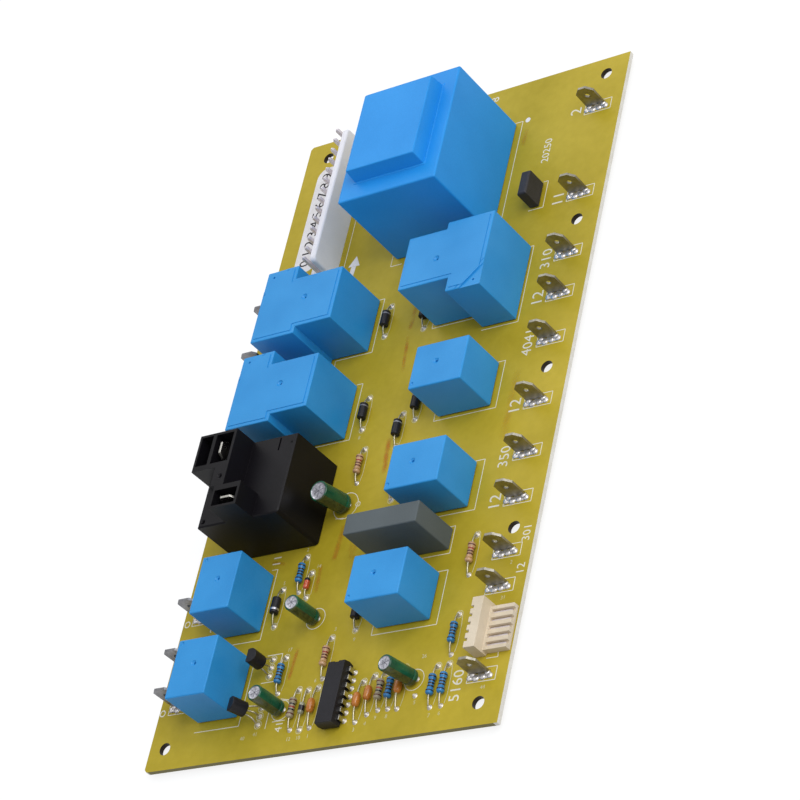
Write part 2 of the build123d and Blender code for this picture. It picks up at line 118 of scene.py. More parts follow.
for name, place, size, power in (
    ("lamp_right", (0.78, 0.1, 0.95), 0.9, 8.6),
    ("lamp_behind", (-0.35, 0.7, 0.9), 0.6, 1.6),
):
    bpy.ops.object.light_add(type="AREA", location=place)
    lamp = bpy.context.object
    lamp.name = name
    lamp.data.size = size
    lamp.data.energy = power
    lamp.rotation_euler = Vector(place).to_track_quat("Z", "Y").to_euler()

card_black = bpy.data.materials.new("card_black")
card_black.use_nodes = True
put(card_black.node_tree.nodes["Principled BSDF"], Base_Color=(0.02, 0.02, 0.02, 1), Roughness=0.9)
for name, place, turn, size in (
    ("card_front", (-0.4, -1.4, 0.45), 0, (2.6, 0.9, 1)),
    ("card_left", (-1.4, -0.1, 0.35), 90, (2.2, 0.7, 1)),
):
    bpy.ops.mesh.primitive_plane_add(size=1, location=place,
                                     rotation=(math.radians(90), 0, math.radians(turn)))
    card = bpy.context.object
    card.name = name
    card.scale = size
    card.visible_camera = False
    card.visible_diffuse = False
    card.data.materials.append(card_black)


# Bare board
# Punched glass-epoxy sheet under clear olive lacquer. The woven cloth and the copper
# beneath show through as faint patches. The sawn long edges are pale. The ends are painted
# a darker olive, partly painted shade, and the hole walls near black as painted shade.
def paint(red, green, blue):
    channel = [c / 255 for c in (red, green, blue)]
    return tuple(c / 12.92 if c < 0.04 else ((c + 0.055) / 1.055) ** 2.4 for c in channel) + (1,)


def new_finish(name, rough=0.5, metal=0.0, coat=0.0, gloss=0.5):
    material = bpy.data.materials.new(name)
    material.use_nodes = True
    shader = put(material.node_tree.nodes["Principled BSDF"], Roughness=rough, Metallic=metal,
                 Coat_Weight=coat, Coat_Roughness=0.12, Specular_IOR_Level=gloss)
    return material, material.node_tree.nodes, material.node_tree.links, shader


def group_node(nodes, group, **values):
    node = nodes.new("ShaderNodeGroup")
    node.node_tree = group
    return put(node, **values)


def mixed(nodes, links, factor, first, second, kind="FLOAT"):
    mix = nodes.new("ShaderNodeMix")
    mix.data_type = kind
    for socket, source in (("Factor", factor), ("A", first), ("B", second)):
        links.new(source, mix.inputs[socket])
    return mix.outputs["Result"]


def stretched(nodes, links, value, low, high):
    spread = put(nodes.new("ShaderNodeMapRange"), From_Min=low, From_Max=high)
    links.new(value, spread.inputs["Value"])
    return spread.outputs["Result"]


# Two tones mixed by soft cloud, with a fine grain that also drives height and shine
def make_cloud_group():
    group = bpy.data.node_groups.new("cloud_and_grain", "ShaderNodeTree")
    face = group.interface
    colour, number = "NodeSocketColor", "NodeSocketFloat"
    for name, kind, value in (
        ("Dark", colour, (0, 0, 0, 1)), ("Light", colour, (1, 1, 1, 1)), ("Cloud Size", number, 60),
        ("Grain Size", number, 2500), ("Grain Share", number, 0.2), ("Low Shine", number, 0.5),
        ("High Shine", number, 0.4),
    ):
        face.new_socket(name, in_out="INPUT", socket_type=kind).default_value = value
    for name, kind in (("Color", colour), ("Roughness", number), ("Height", number)):
        face.new_socket(name, in_out="OUTPUT", socket_type=kind)
    nodes, links = group.nodes, group.links
    given = nodes.new("NodeGroupInput")
    result = nodes.new("NodeGroupOutput")
    place = nodes.new("ShaderNodeTexCoord")
    cloud = put(nodes.new("ShaderNodeTexNoise"), Detail=3)
    grain = put(nodes.new("ShaderNodeTexNoise"), Detail=2)
    for noise, size in ((cloud, "Cloud Size"), (grain, "Grain Size")):
        links.new(place.outputs["Object"], noise.inputs["Vector"])
        links.new(given.outputs[size], noise.inputs["Scale"])
    share = mixed(nodes, links, given.outputs["Grain Share"], cloud.outputs["Fac"], grain.outputs["Fac"])
    spread = stretched(nodes, links, share, 0.3, 0.7)
    tone = mixed(nodes, links, spread, given.outputs["Dark"], given.outputs["Light"], "RGBA")
    shine = mixed(nodes, links, spread, given.outputs["Low Shine"], given.outputs["High Shine"])
    links.new(tone, result.inputs["Color"])
    links.new(shine, result.inputs["Roughness"])
    links.new(grain.outputs["Fac"], result.inputs["Height"])
    return group


cloud_and_grain = make_cloud_group()


def add_bump(nodes, links, height, shader, depth, strength=0.5):
    bump = put(nodes.new("ShaderNodeBump"), Strength=strength, Distance=depth)
    links.new(height, bump.inputs["Height"])
    links.new(bump.outputs["Normal"], shader.inputs["Normal"])


# A moulded or coated finish: tone, grain and shine all from the cloud group
def grained_finish(name, dark, light, low=0.5, high=0.4, cloud=60, grain=2500,
                   share=0.25, depth=0.00002, metal=0.0, coat=0.0, gloss=0.35):
    material, nodes, links, shader = new_finish(name, low, metal, coat, gloss)
    tone = group_node(nodes, cloud_and_grain, Dark=paint(*dark), Light=paint(*light),
                      Cloud_Size=cloud, Grain_Size=grain, Grain_Share=share,
                      Low_Shine=low, High_Shine=high)
    links.new(tone.outputs["Color"], shader.inputs["Base Color"])
    links.new(tone.outputs["Roughness"], shader.inputs["Roughness"])
    add_bump(nodes, links, tone.outputs["Height"], shader, depth)
    return material


# Lacquer on both faces, hole walls painted near black as painted shade, ends past end_limit
# a darker olive that is partly painted shade, sides past side_limit sawn
def board_finish(end_limit=0.1145, side_limit=0.0625):
    material, nodes, links, shader = new_finish("board_laminate", 0.4, gloss=0.2)
    lacquer = group_node(nodes, cloud_and_grain, Dark=paint(164, 145, 30), Light=paint(192, 169, 48),
                         Cloud_Size=26, Grain_Size=420, Grain_Share=0.2,
                         Low_Shine=0.5, High_Shine=0.36)
    sawn = group_node(nodes, cloud_and_grain, Dark=paint(222, 214, 196), Light=paint(244, 240, 230),
                      Cloud_Size=300, Grain_Size=3500, Grain_Share=0.5)
    place = nodes.new("ShaderNodeTexCoord")
    reach = nodes.new("ShaderNodeSeparateXYZ")
    links.new(place.outputs["Object"], reach.inputs[0])
    # The hole walls start near black-brown: painted shade, standing in for the shade inside the holes
    edge_colour = nodes.new("ShaderNodeRGB").outputs[0]
    edge_colour.default_value = paint(44, 32, 16)
    # Both ends are painted a darker olive: partly the lacquer's colour, partly painted shade for the near
    # end, which the lamps barely reach
    olive_end_and_shade = nodes.new("ShaderNodeRGB").outputs[0]
    olive_end_and_shade.default_value = paint(112, 102, 44)
    for axis, limit, tone in (("Y", end_limit, olive_end_and_shade), ("X", side_limit, sawn.outputs["Color"])):
        far = calculated(nodes, links, "ABSOLUTE", reach.outputs[axis])
        past = calculated(nodes, links, "GREATER_THAN", far, limit)
        edge_colour = mixed(nodes, links, past, edge_colour, tone, "RGBA")
    surface = nodes.new("ShaderNodeNewGeometry")
    split = nodes.new("ShaderNodeSeparateXYZ")
    links.new(surface.outputs["Normal"], split.inputs[0])
    flat = calculated(nodes, links, "ABSOLUTE", split.outputs["Z"])
    colour = mixed(nodes, links, flat, edge_colour, lacquer.outputs["Color"], "RGBA")
    links.new(colour, shader.inputs["Base Color"])
    links.new(lacquer.outputs["Roughness"], shader.inputs["Roughness"])
    weave = []
    for direction in ("X", "Y"):
        wave = put(nodes.new("ShaderNodeTexWave"), Scale=320)
        wave.bands_direction = direction
        links.new(place.outputs["Object"], wave.inputs["Vector"])
        weave.append(wave.outputs["Fac"])
    cloth = calculated(nodes, links, "MAXIMUM", *weave)
    add_bump(nodes, links, cloth, shader, 0.00001, 0.35)
    return material


def wear(node, material):
    mesh = bpy.data.objects[node].data
    mesh.materials.clear()
    mesh.materials.append(material)


wear("circuit_board", board_finish())


# Copper streaks
# Where the lacquer is thin, the copper below glows through the sheet as faint orange
# runs between the relays, strongest along their middles.
board_width, board_length, board_top = 127.6, 231.7, 3.4


# Millimetres from the board's near left corner and upper face, as metres in the frame
def at(x, y, z=0.0):
    return Vector((x - board_width / 2, y - board_length / 2, z + board_top)) / 1000


def settle(piece, material, slot, *nodes):
    if material:
        piece.data.materials.clear()
        piece.data.materials.append(material)
    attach(piece, "root")
    if nodes:
        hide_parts(*nodes)


def alone(piece):
    bpy.ops.object.select_all(action="DESELECT")
    piece.select_set(True)
    bpy.context.view_layer.objects.active = piece


def fix_place(piece):
    alone(piece)
    bpy.ops.object.transform_apply(location=True, rotation=True, scale=True)


def joined(pieces, name):
    bpy.ops.object.select_all(action="DESELECT")
    for piece in pieces:
        piece.select_set(True)
    bpy.context.view_layer.objects.active = pieces[0]
    if len(pieces) > 1:
        bpy.ops.object.join()
    pieces[0].name = name
    return pieces[0]


def laid_on_board(pieces, name, material):
    sheet = joined(pieces, name)
    fix_place(sheet)
    settle(sheet, material, "board_laminate")


def streak_finish():
    material, nodes, links, shader = new_finish("copper_under_lacquer", 0.45, gloss=0.2)
    place = nodes.new("ShaderNodeTexCoord")
    noise = put(nodes.new("ShaderNodeTexNoise"), Scale=240, Detail=3)
    tone = nodes.new("ShaderNodeMix")
    tone.data_type = "RGBA"
    put(tone, A=paint(196, 140, 40), B=paint(206, 118, 44))
    links.new(place.outputs["Object"], noise.inputs["Vector"])
    links.new(noise.outputs["Fac"], tone.inputs["Factor"])
    links.new(tone.outputs["Result"], shader.inputs["Base Color"])
    fade = nodes.new("ShaderNodeAttribute")
    fade.attribute_name = "fade"
    patchy = stretched(nodes, links, noise.outputs["Fac"], 0.25, 0.65)
    links.new(calculated(nodes, links, "MULTIPLY", fade.outputs["Fac"], patchy), shader.inputs["Alpha"])
    add_bump(nodes, links, noise.outputs["Fac"], shader, 0.00001, 0.2)
    return material


def faded_run(start, end, width, strength):
    run = Vector(end) - Vector(start)
    middle = at((start[0] + end[0]) / 2, (start[1] + end[1]) / 2, 0.01)
    bpy.ops.mesh.primitive_grid_add(x_subdivisions=10, y_subdivisions=6, size=1, location=middle,
                                    rotation=(0, 0, math.atan2(run.y, run.x)))
    patch = bpy.context.object
    fade = patch.data.attributes.new("fade", "FLOAT", "POINT")
    for vertex, value in zip(patch.data.vertices, fade.data):
        along, across = 1 - abs(2 * vertex.co.x) ** 4, 1 - abs(2 * vertex.co.y) ** 1.5
        value.value = strength * max(0, along) * max(0, across)
    patch.scale = Vector((run.length, width, 1000)) / 1000
    return patch


streaks = []
for start, end, width, strength in (
    ((63.9, 151.0), (63.2, 142.5), 2.2, 0.7), ((63.3, 140.5), (64.4, 126.5), 1.8, 0.6),
    ((65.4, 103.0), (66.4, 90.0), 2.4, 0.7), ((55.9, 74.5), (54.7, 62.0), 2.6, 0.7),
    ((62.3, 70.5), (61.5, 61.5), 3.0, 0.7), ((50.4, 62.0), (50.7, 52.0), 2.0, 0.6),
    ((60.7, 77.0), (60.3, 64.0), 2.0, 0.5), ((49.2, 34.5), (48.4, 23.5), 1.8, 0.6),
    ((92.6, 212.0), (92.2, 205.0), 2.2, 0.4), ((34.0, 163.5), (36.5, 158.0), 2.2, 0.4),
    ((109.5, 118.5), (109.0, 92.0), 3.4, 0.2), ((30.0, 66.0), (36.0, 64.5), 1.6, 0.4),
):
    streaks.append(faded_run(start, end, width, strength))
laid_on_board(streaks, "copper_streaks", streak_finish())


# Printed legend
# White epoxy ink laid on the lacquer: part outlines, rings at the pads, an arrow and a
# long white patch, with plain numbers where the board is marked.
ink_height = 0.03
ink = []


def cube(middle, size, turn=0.0):
    bpy.ops.mesh.primitive_cube_add(size=1, location=middle, rotation=(0, 0, turn))
    bpy.context.object.scale = Vector(size) / 1000
    return bpy.context.object


def flat_bar(start, end, width, height, z):
    run = Vector(end) - Vector(start)
    middle = at((start[0] + end[0]) / 2, (start[1] + end[1]) / 2, z + height / 2)
    return cube(middle, (run.length, width, height), math.atan2(run.y, run.x))


def ink_line(*points, width=0.24):
    for start, end in zip(points, points[1:]):
        ink.append(flat_bar(start, end, width, ink_height + 0.0006 * (len(ink) % 8), 0))


def ink_ring(x, y, radius, width=0.24):
    bpy.ops.mesh.primitive_torus_add(
        major_radius=radius / 1000, minor_radius=width / 2000, major_segments=32,
        minor_segments=6, location=at(x, y, 0.01))
    bpy.context.object.scale.z = 0.16
    ink.append(bpy.context.object)


def ink_disc(x, y, radius, corners=24, turn=0):
    bpy.ops.mesh.primitive_cylinder_add(
        vertices=corners, radius=radius / 1000, depth=ink_height / 1000,
        location=at(x, y, ink_height / 2), rotation=(0, 0, math.radians(turn)))
    ink.append(bpy.context.object)


def printed_number(text, x, y, size, turn=90, z=ink_height / 2):
    bpy.ops.object.text_add(location=at(x, y, z), rotation=(0, 0, math.radians(turn)))
    words = bpy.context.object
    words.data.body = text
    words.data.size = size / 1000
    words.data.extrude = ink_height / 2000
    words.data.align_x = "CENTER"
    words.data.align_y = "CENTER"
    words.data.resolution_u = 3
    bpy.ops.object.convert(target="MESH")
    return bpy.context.object


def ink_finish(name, dark, light):
    return grained_finish(name, dark, light, 0.7, 0.6, cloud=400, grain=2600, share=0.5)


def open_edit(piece):
    alone(piece)
    bpy.ops.object.mode_set(mode="EDIT")


def close_edit():
    bpy.ops.object.mode_set(mode="OBJECT")


for points in (
    ((90.3, 170.0), (90.3, 215.5), (49.0, 215.5), (49.0, 170.0), (53.5, 170.0)),
    ((105.45, 163.2), (105.45, 135.4), (92.0, 135.4)),
    ((105.45, 163.2), (102.5, 163.2)),
    ((92.0, 140.8), (72.3, 140.8), (72.3, 146.0)),
    ((47.0, 157.5), (49.9, 157.5), (49.9, 137.35), (35.6, 137.35), (35.6, 134.5)),
    ((47.0, 125.9), (49.35, 125.9), (49.35, 105.5), (35.6, 105.5), (35.6, 102.6)),
    ((100.5, 121.9), (103.9, 121.9), (103.9, 105.35), (81.3, 105.35), (81.3, 109.0)),
    ((100.5, 87.6), (104.2, 87.6), (104.2, 70.65), (81.5, 70.65), (81.5, 74.0)),
    ((95.0, 51.7), (99.25, 51.7), (99.25, 34.2), (76.1, 34.2), (76.1, 38.0)),
    ((31.0, 63.1), (33.3, 63.1), (33.3, 39.15), (16.0, 39.15)),
    ((31.0, 33.6), (33.3, 33.6), (33.3, 11.0), (16.2, 11.0)),
    ((96.0, 66.3), (98.5, 66.3), (98.5, 57.3), (70.6, 57.3), (70.6, 60.0)),
    ((104.0, 187.7), (105.7, 187.7), (105.7, 177.6), (100.2, 177.6)),
    ((28.9, 170.0), (28.9, 225.5), (17.2, 225.5)),
    ((119.5, 20.5), (123.4, 20.5), (123.2, 22.0)),
    ((51.6, 77.2), (54.8, 76.9)),
    ((47.3, 17.9), (50.9, 17.1)),
    ((46.0, 10.7), (50.9, 10.7)),
    ((29.8, 163.0), (29.8, 168.0)),
    ((43.7, 24.2), (43.7, 33.2), (38.0, 33.2)),
    ((43.7, 24.2), (38.0, 24.2)),
    ((43.9, 8.8), (43.9, 17.4), (38.5, 17.4)),
):
    ink_line(*points)
for ring in ((54.5, 81.2, 4.5), (53.3, 43.2, 3.4), (48.3, 14.1, 3.2), (95.6, 17.3, 3.3), (59.1, 81.0, 0.8),
             (1.63, 49.2, 0.95, 0.4), (1.25, 19.2, 0.95, 0.4)):
    ink_ring(*ring)

# A box round each push-on tab, a little off the blade
right_rows = (213.3, 180.0, 157.8, 143.0, 126.8, 105.2, 87.7, 72.5, 55.0, 43.8, 16.2)
right_tabs = [(118.5, y) for y in right_rows]
left_tabs = [(6.5, 158.4), (6.5, 140.4), (8.0, 51.2), (8.0, 34.2), (8.0, 21.2)]
for x, y in [(x + 0.6, y - 0.6) for x, y in right_tabs] + [(x + 0.4, y - 0.8) for x, y in left_tabs]:
    left, right, near, far = x - 4.8, x + 4.8, y - 2.1, y + 2.1
    ink_line((left, near), (right, near), (right, far), (left, far), (left, near))
for text, x, y, size in (
    ("2", 111.2, 213.0, 5.6), ("11", 111.2, 179.2, 5.6), ("310", 111.4, 156.8, 5.0),
    ("12", 111.2, 142.4, 5.6), ("4041", 111.2, 126.8, 5.0), ("12", 111.2, 104.2, 5.6),
    ("350", 111.2, 87.0, 5.0), ("12", 111.2, 71.8, 5.6), ("301", 124.9, 59.4, 3.8),
    ("12", 125.2, 47.8, 3.8), ("5160", 111.2, 13.3, 5.0), ("11", 32.3, 66.2, 4.2),
    ("8", 76.9, 228.4, 4.4), ("20250", 102.6, 200.3, 3.8), ("41", 49.2, 8.8, 3.6),
    ("10", 20.0, 66.9, 3.6), ("14", 12.6, 136.0, 4.2), ("24", 13.4, 46.8, 4.2),
):
    ink.append(printed_number(text, x, y, size))
small_numbers = []
for text, x, y in (
    ("12", 53.8, 4.2), ("10", 57.4, 4.2), ("1", 60.9, 4.3), ("3", 77.4, 4.2), ("4", 81.1, 5.6),
    ("9", 84.4, 7.0), ("8", 88.3, 6.9), ("7", 103.4, 5.2), ("6", 106.9, 5.4), ("5", 97.4, 10.0),
    ("17", 46.2, 34.0), ("2", 43.6, 68.0), ("14", 49.6, 61.4), ("6", 58.9, 22.2), ("2", 121.4, 50.4),
    ("31", 121.0, 39.2), ("44", 120.2, 11.6), ("7", 81.8, 24.2), ("26", 97.4, 24.4), ("9", 70.0, 33.8),
    ("5", 37.4, 57.6), ("3", 62.0, 38.4), ("41", 40.6, 7.4), ("40", 36.0, 6.6), ("8", 53.2, 105.4),
):
    small_numbers.append(printed_number(text, x, y, 1.7, turn=0))

legend_ink = ink_finish("legend_ink", (212, 206, 184), (236, 230, 210))
laid_on_board(ink, "printed_legend", legend_ink)

# The dot, the arrow and the patch are printed thick, so they are whiter
ink = []
ink_disc(92.2, 215.5, 0.95)
ink_disc(33.2, 175.6, 2.7, corners=3, turn=-3)
ink_line((32.6, 167.5), (33.1, 174.2), width=1.9)
patch = cube(at(11.4, 199.0, ink_height / 2), (9.6, 43.0, ink_height))
fix_place(patch)
open_edit(patch)
bpy.ops.mesh.select_mode(type="EDGE")
shape = bmesh.from_edit_mesh(patch.data)
for edge in shape.edges:
    edge.select_set(abs(edge.verts[0].co.z - edge.verts[1].co.z) > 0.00001)
shape.select_flush_mode()
bmesh.update_edit_mesh(patch.data)
bpy.ops.mesh.bevel(offset=0.0042, segments=8)
close_edit()
ink.append(patch)

thick_ink = ink_finish("thick_ink", (214, 210, 206), (238, 235, 235))
laid_on_board(ink, "white_patch_and_arrow", thick_ink)

dark_ink = grained_finish("dark_ink", (22, 21, 24), (44, 42, 46), 0.6, 0.5, cloud=300)
pin_pitch, above_patch = 3.96, 1.5 * ink_height + 0.001
marks = [printed_number(str(index), 10.9, 181.2 + pin_pitch * index, 5.6, z=above_patch)
         for index in range(10)]
laid_on_board(marks, "patch_numbers", dark_ink)


# Transformer
# Coils potted in a blue moulded case, soldered down by eight square pins. The raised
# boss has slight draft, and every face the fine grain of a spark-eroded mould.
def pick(piece, test):
    bpy.ops.mesh.select_mode(type="FACE")
    shape = bmesh.from_edit_mesh(piece.data)
    for face in shape.faces:
        face.select_set(False)
    for face in shape.faces:
        if test(face):
            face.select_set(True)
    shape.select_flush_mode()
    bmesh.update_edit_mesh(piece.data)


def box_at(name, corner, size):
    piece = cube(at(*(corner[i] + size[i] / 2 for i in range(3))), size)
    piece.name = name
    fix_place(piece)
    return piece


def soften(piece, width, segments=3, angle=30):
    alone(piece)
    edge = piece.modifiers.new("soften", "BEVEL")
    edge.width = width / 1000
    edge.segments = segments
    edge.limit_method = "ANGLE"
    edge.angle_limit = math.radians(angle)
    bpy.ops.object.modifier_apply(modifier="soften")


def smooth(piece, angle):
    alone(piece)
    bpy.ops.object.shade_smooth_by_angle(angle=math.radians(angle))


# Rounded edges are shaded smoothly while the flat faces between them stay flat
def finish_faces(piece):
    smooth(piece, 50)
    weigh = piece.modifiers.new("weigh", "WEIGHTED_NORMAL")
    weigh.keep_sharp = True
    bpy.ops.object.modifier_apply(modifier="weigh")


def discard(piece):
    bpy.data.objects.remove(piece, do_unlink=True)


def combine(piece, tool, how):
    alone(piece)
    cut = piece.modifiers.new("combine", "BOOLEAN")
    cut.operation = how
    cut.object = tool
    cut.solver = "EXACT"
    bpy.ops.object.modifier_apply(modifier="combine")
    discard(tool)


def hollow_below(piece, wall, depth):
    open_edit(piece)
    lowest = min(v.co.z for v in piece.data.vertices)
    pick(piece, lambda f: f.normal.z < -0.99 and f.calc_center_median().z < lowest + 0.0001)
    bpy.ops.mesh.inset(thickness=wall / 1000)
    bpy.ops.mesh.extrude_region_move(TRANSFORM_OT_translate={"value": (0, 0, depth / 1000)})
    close_edit()


case_blue = grained_finish("case_blue", (24, 136, 213), (38, 152, 230), 0.5, 0.42,
                           cloud=34, grain=2200, share=0.3)
case = box_at("transformer_case_moulding", (50.9, 172.1, 0.0), (37.3, 42.8, 31.2))
soften(case, 0.6, 4)
hollow_below(case, 1.4, 1.0)
plinth = box_at("plinth", (55.8, 177.9, 30.8), (27.7, 31.5, 0.65))
soften(plinth, 0.2, 2)
combine(case, plinth, "UNION")
boss = box_at("boss", (56.3, 178.4, 30.8), (26.7, 30.5, 6.0))
open_edit(boss)
pick(boss, lambda f: f.normal.z > 0.9)
bpy.ops.transform.resize(value=(0.972, 0.974, 1))
close_edit()
soften(boss, 0.35, 3)
combine(case, boss, "UNION")
finish_faces(case)
settle(case, case_blue, "transformer_blue", "transformer_case")


def metal_finish(name, dark, light, low, high, metal=1.0, cloud=240, grain=1800, share=0.3):
    return grained_finish(name, dark, light, low, high, cloud, grain, share, 0.00001, metal)


tinned = metal_finish("tinned_metal", (170, 168, 160), (214, 212, 206), 0.34, 0.22)
wear("transformer_pins", tinned)


# Notched power relays
# Three covers moulded in blue nylon with a stepped outline, a shallow lid line, a vent
# and a lowered corner, snapped over dark base plates.
def groove_round(piece, high, margin, width, depth):
    open_edit(piece)
    widest = max((f.area for f in piece.data.polygons if f.normal.z > 0.99
                  and f.center.z > high - 0.0001))
    pick(piece, lambda f: f.normal.z > 0.99 and f.calc_area() > widest * 0.99)
    bpy.ops.mesh.inset(thickness=margin / 1000)
    bpy.ops.mesh.inset(thickness=width / 1000)
    bpy.ops.mesh.extrude_region_move(TRANSFORM_OT_translate={"value": (0, 0, depth / 1000)})
    close_edit()


def drill(piece, x, y, z, radius, depth, corners=24):
    bpy.ops.mesh.primitive_cylinder_add(
        vertices=corners, radius=radius / 1000, depth=2 * depth / 1000, location=at(x, y, z))
    combine(piece, bpy.context.object, "DIFFERENCE")


def twin(piece, name):
    other = piece.copy()
    other.data = piece.data.copy()
    other.name = name
    bpy.context.collection.objects.link(other)
    return other


def placed_copy(piece, name, x, y, turn=0):
    other = twin(piece, name)
    where = Matrix.Translation(at(x, y)) @ Matrix.Rotation(math.radians(turn), 4, "Z")
    other.data.transform(where @ Matrix.Translation(-at(0, 0)))
    return other


def dish(piece, x, y, z, radius, depth):
    ball = (radius ** 2 + depth ** 2) / (2 * depth)
    bpy.ops.mesh.primitive_uv_sphere_add(segments=48, ring_count=32, radius=ball / 1000,
                                         location=at(x, y, z + ball - depth))
    combine(piece, bpy.context.object, "DIFFERENCE")


relay_blue = grained_finish("relay_blue", (32, 135, 201), (50, 152, 218), 0.42, 0.34,
                            cloud=50, grain=2600, share=0.3)
base_dark = grained_finish("relay_base_plate", (38, 37, 42), (58, 56, 60), 0.6, 0.5)

master = box_at("relay_master", (0, 0, 0.3), (31.3, 26.6, 19.6))
combine(master, box_at("cut", (-2, -2, -2), (20.8, 7.0, 26)), "DIFFERENCE")
combine(master, box_at("cut", (-2, 24.2, -2), (16.1, 6, 26)), "DIFFERENCE")
soften(master, 0.32, 3)
groove_round(master, 0.0233, 0.7, 0.2, 0.18)
hollow_below(master, 0.9, 2.7)
for back, wide, low in ((0.0, 12.0, 0.3), (-1.3, 0.26, 0.15)):
    middle = at(27.6 + (back + wide / 2) * 0.7071, 3.7 - (back + wide / 2) * 0.7071, 19.9)
    cut = cube(middle, (wide, 22, 2 * low), math.radians(-45))
    fix_place(cut)
    combine(master, cut, "DIFFERENCE")
dish(master, 12.8, 13.5, 19.9, 0.95, 0.45)
drill(master, 12.8, 13.5, 19.6, 0.36, 0.8, 16)
drill(master, 28.6, 2.1, 19.5, 0.4, 0.4, 16)
finish_faces(master)
notched_places = ((73.6, 136.2, 0), (48.5, 162.0, 180), (47.7, 130.1, 180))
for number, (x, y, turn) in enumerate(notched_places, 1):
    cover = placed_copy(master, "notched_cover_%d" % number, x, y, turn)
    settle(cover, relay_blue, "relay_blue", "notched_relay_cover_%d" % number)
    wear("notched_relay_base_%d" % number, base_dark)
discard(master)


# Small relays
# Five plain sealed covers in the same blue nylon, each with a round vent dimple and a
# locating dot in one corner.
master = box_at("small_master", (0, 0, 0.3), (19.1, 15.1, 15.6))
soften(master, 0.45, 4)
hollow_below(master, 0.9, 2.7)
dish(master, 8.6, 8.2, 15.9, 1.0, 0.5)
drill(master, 8.5, 8.3, 15.6, 0.4, 0.6, 16)
dish(master, 1.25, 1.7, 15.9, 0.6, 0.4)
finish_faces(master)
small_places = ((83.0, 106.2, 0), (82.7, 71.8, 0), (77.7, 35.9, 0), (17.7, 60.9, -90), (17.1, 32.9, -90))
for number, (x, y, turn) in enumerate(small_places, 1):
    cover = placed_copy(master, "small_cover_%d" % number, x, y, turn)
    settle(cover, relay_blue, "relay_blue", "small_relay_cover_%d" % number)
    wear("small_relay_base_%d" % number, base_dark)
discard(master)


# Black power relay
# One glass-filled moulding: a low body with three towers whose deep pockets take push-on
# sockets. Two plated blades stand in the pockets.
def start_from(node, name):
    piece = twin(bpy.data.objects[node], name)
    for key in list(piece.keys()):
        del piece[key]
    piece.hide_render = False
    open_edit(piece)
    bpy.ops.mesh.select_all(action="SELECT")
    bpy.ops.mesh.remove_doubles(threshold=0.000005)
    bpy.ops.mesh.dissolve_limited(angle_limit=math.radians(1))
    close_edit()
    return piece


def finished_copy(node, name, material, slot, width, segments=2):
    piece = start_from(node, name)
    soften(piece, width, segments)
    finish_faces(piece)
    settle(piece, material, slot, node)


relay_black = grained_finish("relay_black", (9, 8, 11), (18, 16, 21), 0.5, 0.4,
                             cloud=60, grain=2200, share=0.35, gloss=0.2)
body = start_from("power_relay_case", "power_relay_moulding")
soften(body, 0.2, 2)
drill(body, 46.07, 93.22, 20.0, 0.5, 0.6, 20)
dish(body, 28.3, 80.1, 28.0, 0.95, 0.4)
dish(body, 18.0, 70.7, 20.0, 0.9, 0.4)
finish_faces(body)
settle(body, relay_black, "relay_black", "power_relay_case")
wear("power_relay_base", base_dark)
for number in (1, 2):
    finished_copy("power_relay_blade_%d" % number, "pocket_blade_%d" % number,
                  tinned, "tinned_brass", 0.15)


# Film capacitor
# A wound film element sealed in a grey plastic box, matte from the mould. It stands on
# the board on two wires that come out below.
film_grey = grained_finish("film_grey", (74, 82, 84), (89, 97, 99), 0.55, 0.45, cloud=40, gloss=0.3)
film = box_at("film_capacitor_box", (71.8, 58.5, 0), (26.2, 6.9, 16.6))
soften(film, 0.4, 4)
finish_faces(film)
settle(film, film_grey, "film_grey", "film_capacitor")


# Bridge rectifier
# Four diodes moulded in an epoxy block that has greyed a little. It stands a hair above
# the board on four leads in line.
moulded_black = grained_finish("moulded_black", (18, 17, 21), (32, 30, 36), 0.5, 0.4,
                               cloud=90, grain=1800, share=0.4, gloss=0.3)
bridge_grey = grained_finish("bridge_grey", (36, 35, 39), (54, 53, 58), 0.55, 0.45,
                             cloud=120, grain=1800, share=0.4, gloss=0.3)
finished_copy("bridge_rectifier", "bridge_block", bridge_grey, "moulded_black", 0.15)


# Electrolytic capacitors
# Wound cans in shrunk green sleeves with an olive stripe for the negative side, crimped
# over a rubber plug and leaning a little on their wires.
def turned(name, profile, steps=32):
    bpy.ops.mesh.primitive_plane_add(size=0.001)
    piece = bpy.context.object
    piece.name = name
    open_edit(piece)
    bpy.ops.mesh.select_mode(type="VERT")
    bpy.ops.mesh.select_all(action="SELECT")
    bpy.ops.mesh.merge(type="CENTER")
    bpy.ops.transform.translate(value=(profile[0][0] / 1000, 0, profile[0][1] / 1000))
    for (r0, z0), (r1, z1) in zip(profile, profile[1:]):
        step = ((r1 - r0) / 1000, 0, (z1 - z0) / 1000)
        bpy.ops.mesh.extrude_region_move(TRANSFORM_OT_translate={"value": step})
    bpy.ops.mesh.select_all(action="SELECT")
    bpy.ops.mesh.spin(steps=steps, angle=2 * math.pi, center=(0, 0, 0), axis=(0, 0, 1))
    bpy.ops.mesh.select_all(action="SELECT")
    bpy.ops.mesh.remove_doubles(threshold=0.000004)
    bpy.ops.mesh.normals_make_consistent(inside=False)
    close_edit()
    smooth(piece, 32)
    return piece


def tone_faces(piece, materials, choose=lambda face: 0):
    piece.data.materials.clear()
    for material in materials:
        piece.data.materials.append(material)
    for face in piece.data.polygons:
        face.material_index = choose(face)


def stand(piece, x, y, z, lean_x, lean_y):
    lean = Matrix.Rotation(math.radians(lean_y), 4, "Y") @ Matrix.Rotation(math.radians(lean_x), 4, "X")
    piece.data.transform(Matrix.Translation(at(x, y, z)) @ lean)


